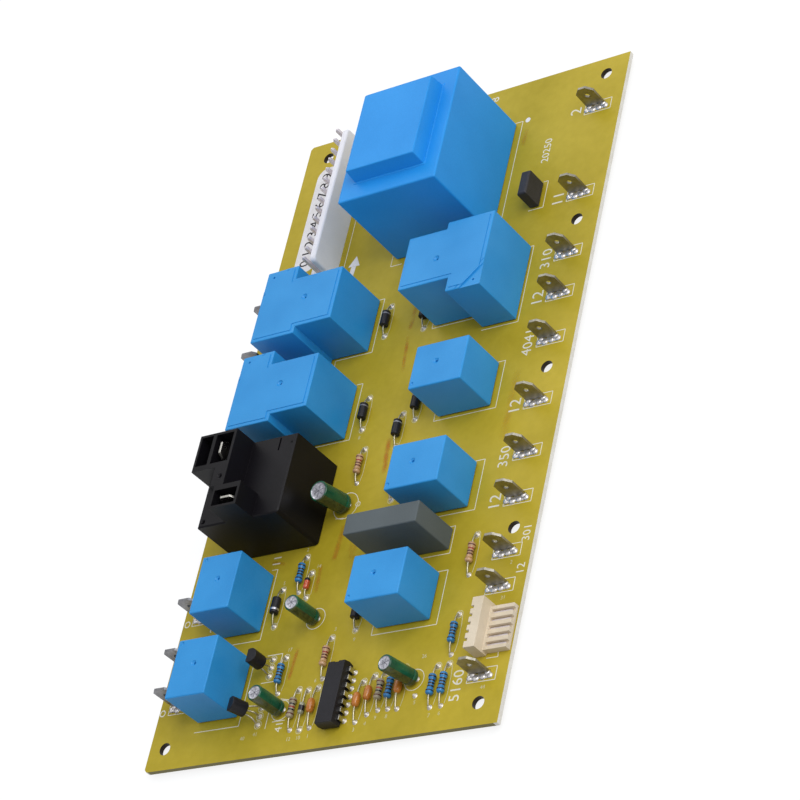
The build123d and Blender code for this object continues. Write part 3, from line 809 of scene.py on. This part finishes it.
sleeve_green = grained_finish("sleeve_green", (8, 62, 42), (26, 98, 66), 0.3, 0.2,
                              cloud=200, grain=1500, share=0.3, coat=0.2)
sleeve_stripe = grained_finish("sleeve_stripe", (20, 40, 26), (84, 88, 44), 0.35, 0.25,
                               cloud=700, grain=1800, share=0.4, coat=0.2)
can_metal = grained_finish("can_metal", (124, 124, 134), (226, 226, 234), 0.42, 0.26,
                           cloud=900, grain=2000, share=0.3, metal=0.85)
score_grey = grained_finish("score_grey", (84, 84, 92), (120, 120, 128), 0.5, 0.4, metal=0.6)
plug_rubber = grained_finish("plug_rubber", (30, 29, 31), (46, 45, 48), 0.8, 0.7)
cans = (
    (54.3, 81.2, 54.2, 79.1, 3.2, 11.5), (53.2, 43.0, 54.0, 41.9, 2.5, 11.0),
    (48.3, 14.1, 48.4, 13.6, 2.5, 11.0), (95.6, 17.3, 94.9, 16.1, 2.5, 11.6),
)
for number, (x, y, top_x, top_y, r, h) in enumerate(cans, 1):
    can = turned("capacitor_can_%d" % number, (
        (0, 0.2), (r * 0.7, 0.2), (r * 0.75, 0), (r - 0.2, 0), (r - 0.03, 0.15), (r, 0.4), (r, 1.2),
        (r - 0.16, 1.45), (r - 0.22, 1.65), (r - 0.16, 1.85), (r, 2.1), (r, h - 0.45),
        (r - 0.07, h - 0.15), (r - 0.25, h), (r - 0.5, h - 0.01), (r - 0.56, h - 0.06),
        (r - 0.6, h - 0.18), (r - 0.75, h - 0.24), (r * 0.4, h - 0.2), (0, h - 0.2)), 40)

    def can_tone(face, r=r, h=h):
        if face.center.z > (h - 0.3) / 1000 and face.center.xy.length < (r - 0.52) / 1000:
            return 2
        if face.center.z < 0.0003 and face.center.xy.length < (r - 0.2) / 1000:
            return 3
        angle = math.degrees(math.atan2(face.center.y, face.center.x))
        return 1 if -95 < angle < -35 else 0

    tone_faces(can, (sleeve_green, sleeve_stripe, can_metal, plug_rubber), can_tone)
    scores = [can]
    for turn in (20, 80, 140):
        score = cube((0, 0, (h - 0.19) / 1000), (1.5 * r - 0.9, 0.13, 0.06), math.radians(turn))
        tone_faces(score, (score_grey,))
        fix_place(score)
        scores.append(score)
    can = joined(scores, can.name)
    lean_y = math.degrees(math.atan2(top_x - x, h))
    lean_x = -math.degrees(math.atan2(top_y - y, h))
    stand(can, x, y, 1.2, lean_x, lean_y)
    settle(can, None, "sleeve_green", "electrolytic_capacitor_%d" % number)


# Diodes, resistors and small capacitors
# Bodies lie along the board between their two pads: moulded black diodes, lacquered
# resistors with colour bands, dipped ceramics and two glass beads.
def lay(master, name, places, lift):
    bodies = []
    for x, far, near in places:
        body = twin(master, name)
        where = Matrix.Translation(at(x, (far + near) / 2, lift))
        body.data.transform(where @ Matrix.Rotation(math.radians(-90), 4, "X"))
        bodies.append(body)
    discard(master)
    return joined(bodies, name)


# A body turned about its length, with both ends alike
def barrel(name, end, middle, steps=24):
    return turned(name, [(r, -z) for r, z in end] + middle + end[::-1], steps)


def banded(name, colours):
    end = [(0, 3.15), (0.3, 3.15), (0.72, 3.12), (0.98, 2.95), (1.12, 2.62), (1.15, 2.35), (1.13, 1.95),
           (1.02, 1.68), (0.92, 1.45)]
    piece = barrel(name, end, [(0.9, z) for z in (-1.05, -0.55, -0.15, 0.35, 0.75, 1.25)])
    bands = ((1.95, 2.35), (0.75, 1.25), (-0.15, 0.35), (-1.05, -0.55), (-2.35, -1.95))

    def tone(face):
        z = face.center.z * 1000
        for index, (low, high) in enumerate(bands, 1):
            if low < z < high:
                return min(index, len(colours) - 1)
        return 0

    tone_faces(piece, colours, tone)
    return piece


def band_paint(name, red, green, blue):
    low = tuple(int(c * 0.8) for c in (red, green, blue))
    return grained_finish(name, low, (red, green, blue), 0.35, 0.25, cloud=400, coat=0.2)


tan_lacquer = band_paint("tan_lacquer", 208, 164, 122)
drab_lacquer = band_paint("drab_lacquer", 168, 154, 126)
blue_lacquer = band_paint("blue_lacquer", 48, 130, 192)
brown_band = band_paint("brown_band", 96, 44, 26)
red_band = band_paint("red_band", 158, 50, 34)
black_band = band_paint("black_band", 26, 24, 30)
gold_band = band_paint("gold_band", 170, 128, 62)
orange_dip = grained_finish("orange_dip", (158, 87, 20), (197, 124, 44), 0.3, 0.2,
                            cloud=500, grain=1600, share=0.3, coat=0.4)
bead_red = grained_finish("bead_red", (150, 44, 20), (216, 92, 44), 0.12, 0.08, cloud=700, coat=0.9)
bead_grey = grained_finish("bead_grey", (104, 104, 84), (160, 158, 130), 0.12, 0.08, cloud=700, coat=0.9)

# Each place is the wires' x and the y of the far and the near pad
tan_places = ((56.7, 100.5, 88.6), (61.5, 35.6, 22.4), (107.2, 61.8, 48.7), (84.8, 21.0, 9.3),
              (53.6, 19.9, 7.1))
blue_places = ((44.1, 65.3, 53.4), (45.6, 31.5, 19.8), (106.9, 36.2, 23.5), (107.0, 20.6, 7.7),
               (103.2, 20.5, 7.7), (88.3, 21.2, 9.2))
diode_places = ((53.6, 153.6, 142.4), (68.9, 152.9, 141.7), (53.6, 119.6, 108.2), (68.8, 110.6, 99.0),
                (73.9, 118.9, 107.6), (71.7, 91.2, 80.0), (69.7, 48.2, 37.0), (37.6, 55.3, 43.0))
glass_places = ((47.5, 59.4, 51.1), (57.2, 19.3, 6.7))
ceramic_places = ((60.8, 19.6, 6.9), (77.4, 19.2, 6.5), (81.1, 20.5, 8.4), (91.6, 21.7, 8.8))

resistor_lift, diode_lift, bead_lift, dipped_lift = 1.45, 1.65, 1.2, 1.6

tan_bands = (tan_lacquer, brown_band, red_band, brown_band, brown_band, gold_band)
drab_bands = (drab_lacquer, brown_band, black_band, red_band, black_band, brown_band)
tans = joined([
    lay(banded("tan_body", tan_bands), "tan_resistor_bodies", tan_places[:3], resistor_lift),
    lay(banded("drab_body", drab_bands), "drab_resistor_bodies", tan_places[3:], resistor_lift),
], "tan_resistor_bodies")
settle(tans, None, "resistor_tan", "tan_resistors")
blues = lay(banded("blue_body", (blue_lacquer, black_band)), "blue_resistor_bodies",
            blue_places, resistor_lift)
settle(blues, None, "resistor_blue", "blue_resistors")

band_silver = grained_finish("band_silver", (104, 104, 110), (150, 150, 156), 0.5, 0.4, metal=0.3)
diode = barrel("diode_body", [(0, 2.6), (0.5, 2.6), (1.18, 2.58), (1.32, 2.45), (1.35, 2.3)],
               [(1.35, -1.75), (1.35, -1.1), (1.35, 1.3), (1.35, 1.7)], 28)
tone_faces(diode, (moulded_black, band_silver),
           lambda f: 1 if 0.0013 < f.center.z < 0.0017 and f.center.xy.length > 0.0012 else 0)
banded_diode = twin(diode, "banded_diode_body")
tone_faces(banded_diode, (moulded_black, can_metal),
           lambda f: 1 if 0.0011 < -f.center.z < 0.00176 and f.center.xy.length > 0.0012 else 0)
diodes = joined([lay(diode, "diodes", diode_places[:7], diode_lift),
                 lay(banded_diode, "banded_diodes", diode_places[7:], diode_lift)], "diode_bodies")
settle(diodes, None, "moulded_black", "rectifier_diodes")

red_bead = barrel("red_bead", [(0, 1.9), (0.35, 1.88), (0.62, 1.78), (0.82, 1.55), (0.9, 1.2)],
                  [(0.9, -0.9), (0.9, 0.75)])
tone_faces(red_bead, (bead_red, black_band), lambda f: 1 if f.center.z > 0.00074 else 0)
grey_bead = twin(red_bead, "grey_bead")
tone_faces(grey_bead, (bead_grey, black_band), lambda f: 1 if -0.0009 < f.center.z < 0.00075 else 0)
beads = joined([lay(red_bead, "red", glass_places[:1], bead_lift),
                lay(grey_bead, "grey", glass_places[1:], bead_lift)], "glass_beads")
settle(beads, None, "diode_glass", "glass_diodes")

dipped = barrel("dipped_body", [(0, 2.3), (0.32, 2.28), (0.7, 2.1), (1.0, 1.75), (1.12, 1.3),
                                (1.16, 0.6)], [])
tone_faces(dipped, (orange_dip,))
ceramics = lay(dipped, "ceramic_capacitor_bodies", ceramic_places, dipped_lift)
settle(ceramics, None, "ceramic_orange", "ceramic_capacitors")

# The thin lines and small numbers let some of the lacquer's colour through
thin_ink = ink_finish("thin_ink", (184, 176, 120), (216, 210, 176))
ink = small_numbers
for x, far, near in tan_places + blue_places + glass_places + ceramic_places + diode_places:
    middle = (far + near) / 2
    ink_ring(x, far, 1.15, 0.2)
    ink_line((x + 1.15, far - 0.5), (x + 1.45, middle + 3.0), (x + 1.45, middle - 3.0),
             (x + 1.0, near + 0.7), width=0.2)
for x, far, near in diode_places + glass_places:
    ink_ring(x, near, 1.15, 0.2)
for x, y in ((40.6, 28.9), (40.8, 13.1)):
    for step in (-2.7, 0, 2.7):
        ink_ring(x, y + step, 1.25)
laid_on_board(ink, "small_part_outlines", thin_ink)


# Transistors
# Half-round black epoxy mouldings, each held above the board by three spread wires. One
# of them leans to the left.
for number in (1, 2):
    finished_copy("transistor_%d" % number, "transistor_body_%d" % number,
                  moulded_black, "moulded_black", 0.2, 3)


# Wire leads
# Tinned copper wires, bent down to their pads and pushed through them, with the bright
# fillet of solder that the wave leaves on the component side.
wire_curve = bpy.data.curves.new("bent_wires", "CURVE")
wire_curve.dimensions = "3D"
wire_curve.bevel_depth = 0.000275
wire_curve.bevel_resolution = 2
wire_curve.resolution_u = 4
wire_curve.use_fill_caps = True
pad_spots = []


def wire_through(*points):
    spline = wire_curve.splines.new("NURBS")
    spline.points.add(len(points) - 1)
    for point, place in zip(spline.points, points):
        point.co = tuple(at(*place)) + (1,)
    spline.order_u = 3
    spline.use_endpoint_u = True


for places, half, lift in (
    (tan_places, 3.15, resistor_lift), (blue_places, 3.15, resistor_lift),
    (diode_places, 2.6, diode_lift), (glass_places, 1.9, bead_lift), (ceramic_places, 2.3, dipped_lift),
):
    for x, far, near in places:
        middle = (far + near) / 2
        for pad in (far, near):
            side = 1 if pad > middle else -1
            wire_through((x, middle + side * (half - 0.15), lift), (x, middle + side * (half + 0.9), lift),
                         (x, pad - side * 0.8, 1.0), (x, pad, 0.7), (x, pad, 0.0))
            pad_spots.append((x, pad))
for x, y, top_x, top_y, radius, height in cans:
    for side in (-1, 1):
        pad = x + side * radius * 0.4
        wire_through((pad, y, 0), (pad, y, 0.6), (pad, y, 1.6))
        pad_spots.append((pad, y))
for x, y, pad_x, pad_y in ((39.7, 28.6, 40.6, 28.9), (38.5, 13.6, 40.8, 13.1)):
    for step in (-1, 0, 1):
        foot = pad_y + step * 2.7
        wire_through((pad_x, foot, 0), (pad_x, foot, 0.9), (pad_x - 0.2, (foot + y + step * 1.27) / 2, 2.4),
                     (x + 0.1, y + step * 1.27, 3.4), (x, y + step * 1.27, 4.4))
        pad_spots.append((pad_x, foot))
bridge_pads = [(102.65, 182.55 + (index - 1.5) * 2.1) for index in range(4)]
film_pads = [(84.9 + side * 11.25, 61.95) for side in (-1, 1)]
for pads, top in ((bridge_pads, 0.5), (film_pads, 0.6)):
    for x, y in pads:
        wire_through((x, y, -1.5), (x, y, 0), (x, y, top))
wires = bpy.data.objects.new("bent_wires", wire_curve)
bpy.context.collection.objects.link(wires)
alone(wires)
bpy.ops.object.convert(target="MESH")
wires = bpy.context.object
smooth(wires, 50)
lead_wire = metal_finish("lead_wire", (150, 142, 116), (206, 198, 172), 0.4, 0.3, 0.9)
settle(wires, lead_wire, "tinned_wire", "wire_leads")

bright_solder = grained_finish("bright_solder", (184, 180, 180), (240, 236, 234), 0.4, 0.24,
                               cloud=700, grain=1500, share=0.4, depth=0.00002, metal=0.8)


def scatter(master, name, places, z=0.0):
    pieces = []
    for x, y in places:
        piece = twin(master, name)
        piece.data.transform(Matrix.Translation(at(x, y, z)))
        pieces.append(piece)
    discard(master)
    return joined(pieces, name)


chip_pads = [(69.55 + side * 3.81, 15.03 + (index - 3) * 2.54) for side in (-1, 1) for index in range(7)]
empty_pad = (97.1, 12.1)
fillet = turned("fillet", ((0, 0.8), (0.28, 0.76), (0.44, 0.56), (0.58, 0.32), (0.74, 0.1), (0.84, 0)), 16)
fillets = scatter(fillet, "solder_fillets", pad_spots + chip_pads + [empty_pad])
pad_solder = grained_finish("pad_solder", (198, 190, 180), (244, 237, 228), 0.5, 0.36,
                            cloud=700, grain=1500, share=0.4, depth=0.00002, metal=0.55)
settle(fillets, pad_solder, "solder")


# Logic chip
# A fourteen-lead package: two drafted halves of black epoxy around a tinned lead frame,
# whose leads are bent down through the board.
finished_copy("chip_body", "chip_package", moulded_black, "moulded_black", 0.12)
finished_copy("chip_leads", "chip_lead_frame", tinned, "tinned_wire", 0.05)


# Push-on tabs
# Stamped brass blades, tin-plated, on two legs each. The wave has left a row of bright
# beads of solder in the printed box at each foot.
tab_shine = metal_finish("tab_shine", (124, 120, 108), (170, 166, 154), 0.42, 0.32, 1.0, 180, 900, 0.35)
tab_dull = metal_finish("tab_dull", (112, 112, 116), (150, 150, 154), 0.5, 0.38, 1.0, 180, 900, 0.35)
blade_half, blade_thick, tab_foot, leg_reach = 3.175, 0.8, 0.5, 2.54


# A blade up to top, its tip cut back by along and down at both corners
def tab_master(top, along, down):
    tab = box_at("tab_master", (-blade_half, -blade_thick / 2, tab_foot),
                 (2 * blade_half, blade_thick, top - tab_foot))
    open_edit(tab)
    for side in (-1, 1):
        bpy.ops.mesh.select_all(action="SELECT")
        bpy.ops.mesh.bisect(plane_co=at(side * blade_half, 0, top - down),
                            plane_no=(side * down, 0, along), use_fill=True, clear_outer=True)
    close_edit()
    for side in (-1, 1):
        leg = box_at("leg", (side * leg_reach - 0.5, -0.35, -1.6), (1.0, 0.7, 2.4))
        combine(tab, leg, "UNION")
    bpy.ops.mesh.primitive_cylinder_add(vertices=28, radius=0.00085, depth=0.004,
                                        location=at(0, 0, top - 3.4), rotation=(math.radians(90), 0, 0))
    combine(tab, bpy.context.object, "DIFFERENCE")
    soften(tab, 0.12, 2, 40)
    finish_faces(tab)
    return tab


right_spots = [("edge_tab_right_%02d" % n, x, y) for n, (x, y) in enumerate(right_tabs, 1)]
left_spots = [("edge_tab_left_%d" % n, x, y) for n, (x, y) in enumerate(left_tabs, 1)]
for tab, finish, spots in ((tab_master(8.7, 1.3, 1.9), tab_shine, right_spots),
                           (tab_master(10.3, 2.0, 1.2), tab_dull, left_spots)):
    for node, x, y in spots:
        blade = placed_copy(tab, node.replace("edge_tab", "push_on_tab"), x, y)
        settle(blade, finish, "tinned_brass", node)
    discard(tab)

tab_spots = right_spots + left_spots
drops = []
for dx, dy, across, high in ((-3.4, -1.3, 1.0, 0.6), (-1.2, -1.5, 1.2, 0.7), (1.1, -1.3, 1.1, 0.65),
                             (3.4, -1.2, 1.0, 0.6), (-2.54, -0.4, 1.0, 0.8), (2.54, -0.4, 1.0, 0.8),
                             (0.0, -0.9, 1.0, 0.35), (-2.3, -1.4, 0.8, 0.4), (2.3, -1.2, 0.9, 0.4)):
    bpy.ops.mesh.primitive_uv_sphere_add(segments=14, ring_count=8, radius=across / 1000,
                                         location=at(dx, dy, 0.02))
    drop = bpy.context.object
    drop.scale.z = high / across
    fix_place(drop)
    open_edit(drop)
    bpy.ops.mesh.select_all(action="SELECT")
    bpy.ops.mesh.bisect(plane_co=at(0, 0), plane_no=(0, 0, -1), use_fill=True, clear_outer=True)
    close_edit()
    drops.append(drop)
run = joined(drops, "bead_run")
smooth(run, 50)
runs = [placed_copy(run, "run", x, y) for node, x, y in tab_spots]
discard(run)
settle(joined(runs, "tab_solder"), bright_solder, "solder")


# Pin header
# White nylon housing with a friction wall behind fourteen square tinned pins, which are
# pressed through its floor and soldered below.
header_nylon = grained_finish("header_nylon", (228, 225, 228), (247, 245, 248), 0.45, 0.35, cloud=60)
finished_copy("pin_header_housing", "header_housing", header_nylon, "header_white", 0.2)
matt_tin = metal_finish("matt_tin", (208, 199, 200), (240, 233, 236), 0.5, 0.4, 0.4)
finished_copy("pin_header_pins", "header_posts", matt_tin, "tinned_wire", 0.08)


# Edge connector
# Cream polyester housing, toothed along its wall, with sprung contacts in the grooves
# of the comb that reaches the board's edge.
cream = grained_finish("connector_cream", (206, 190, 162), (228, 212, 186), 0.45, 0.38, cloud=70)
finished_copy("edge_connector_housing", "connector_housing", cream, "connector_cream", 0.12)
finished_copy("edge_connector_contacts", "connector_contacts", matt_tin, "tinned_wire", 0.06)


# Copper tracks below
# The etched side: broad tracks carry the mains from each tab to its relay, and narrow
# ones join the small parts, all under the same lacquer.
sheet_thickness = 1.6
tracks = []
runs_made = set()


# Along y, then along x. A course is made once, and each bar lies a little off the others.
def track(start, end, width):
    corner = (start[0], end[1])
    for a, b in ((start, corner), (corner, end)):
        run = tuple(sorted((round(x, 1), round(y, 1)) for x, y in (a, b)))
        if run[0] != run[1] and run not in runs_made:
            runs_made.add(run)
            tracks.append(flat_bar(a, b, width, 0.035, -1.634 + 0.0006 * (len(tracks) % 12)))


# Solder joints below
# A small bright cone over every lead end, hollow-sided as solder cools, with the
# clipped lead showing at its tip.
heavy_spots = [(x, y) for x in (55.8, 83.3) for y in (178.5, 188.5, 198.5, 208.5)]

# The relays' places, and the pins of each from its own corner
for places, pins in (
    (notched_places,
     ((4.4, 9.0), (4.4, 19.2), (16.6, 20.4), (27.6, 4.4), (27.6, 20.4))),
    (small_places, ((2.4, 7.55), (4.4, 1.9), (4.4, 13.2), (16.4, 1.9), (16.4, 13.2))),
    (((16.1, 68.9, 0),), ((4.6, 8.2), (26.6, 8.2), (26.6, 20.6), (15.6, 20.6))),
):
    for x, y, turn in places:
        for px, py in pins:
            spot = Matrix.Rotation(math.radians(turn), 2) @ Vector((px, py))
            heavy_spots.append((x + spot.x, y + spot.y))
for node, x, y in tab_spots:
    inner = x - leg_reach if x > board_width / 2 else x + leg_reach
    goal = min(heavy_spots, key=lambda spot: abs(spot[0] - x) + 2 * abs(spot[1] - y))
    track(goal, (inner, y), 3.0)
    track((x - leg_reach, y), (x + leg_reach, y), 3.0)
for node, x, y in tab_spots:
    heavy_spots += [(x - leg_reach, y), (x + leg_reach, y)]
heavy_spots += [(22.8, 197.6 + pin_pitch * (index - 6.5)) for index in range(14)]
heavy_spots += [(84.95 + side * 11.25, 61.95) for side in (-1, 1)]
light_spots = pad_spots + chip_pads + bridge_pads
light_spots += [(120.2, 28.75 + 2.54 * (index - 2)) for index in range(5)]
for index, (x, y) in enumerate(light_spots):
    others = sorted(light_spots, key=lambda spot: abs(spot[0] - x) + abs(spot[1] - y))
    track((x, y), others[1 + index % 2], 0.9)
heap = turned("heap", ((1.35, 0), (1.28, -0.12), (0.95, -0.4), (0.72, -0.8), (0.6, -1.25), (0.56, -1.55),
                       (0.5, -1.62), (0.46, -1.64), (0.44, -1.8), (0, -1.8)), 16)
heavy = scatter(heap, "heavy_joints", heavy_spots, -sheet_thickness)
small_heap = turned("small_heap", ((0.98, 0), (0.9, -0.1), (0.62, -0.35), (0.45, -0.7), (0.36, -1.02),
                                   (0.29, -1.1), (0.28, -1.3), (0, -1.3)), 12)
light = scatter(small_heap, "light_joints", light_spots, -sheet_thickness)
heaps = joined([heavy, light], "solder_side_joints")
smooth(heaps, 40)
settle(heaps, bright_solder, "solder", "solder_joints")
track_copper = grained_finish("track_copper", (166, 132, 44), (190, 156, 62), 0.45, 0.32,
                              cloud=60, grain=900, gloss=0.3)
laid_on_board(tracks, "copper_tracks", track_copper)
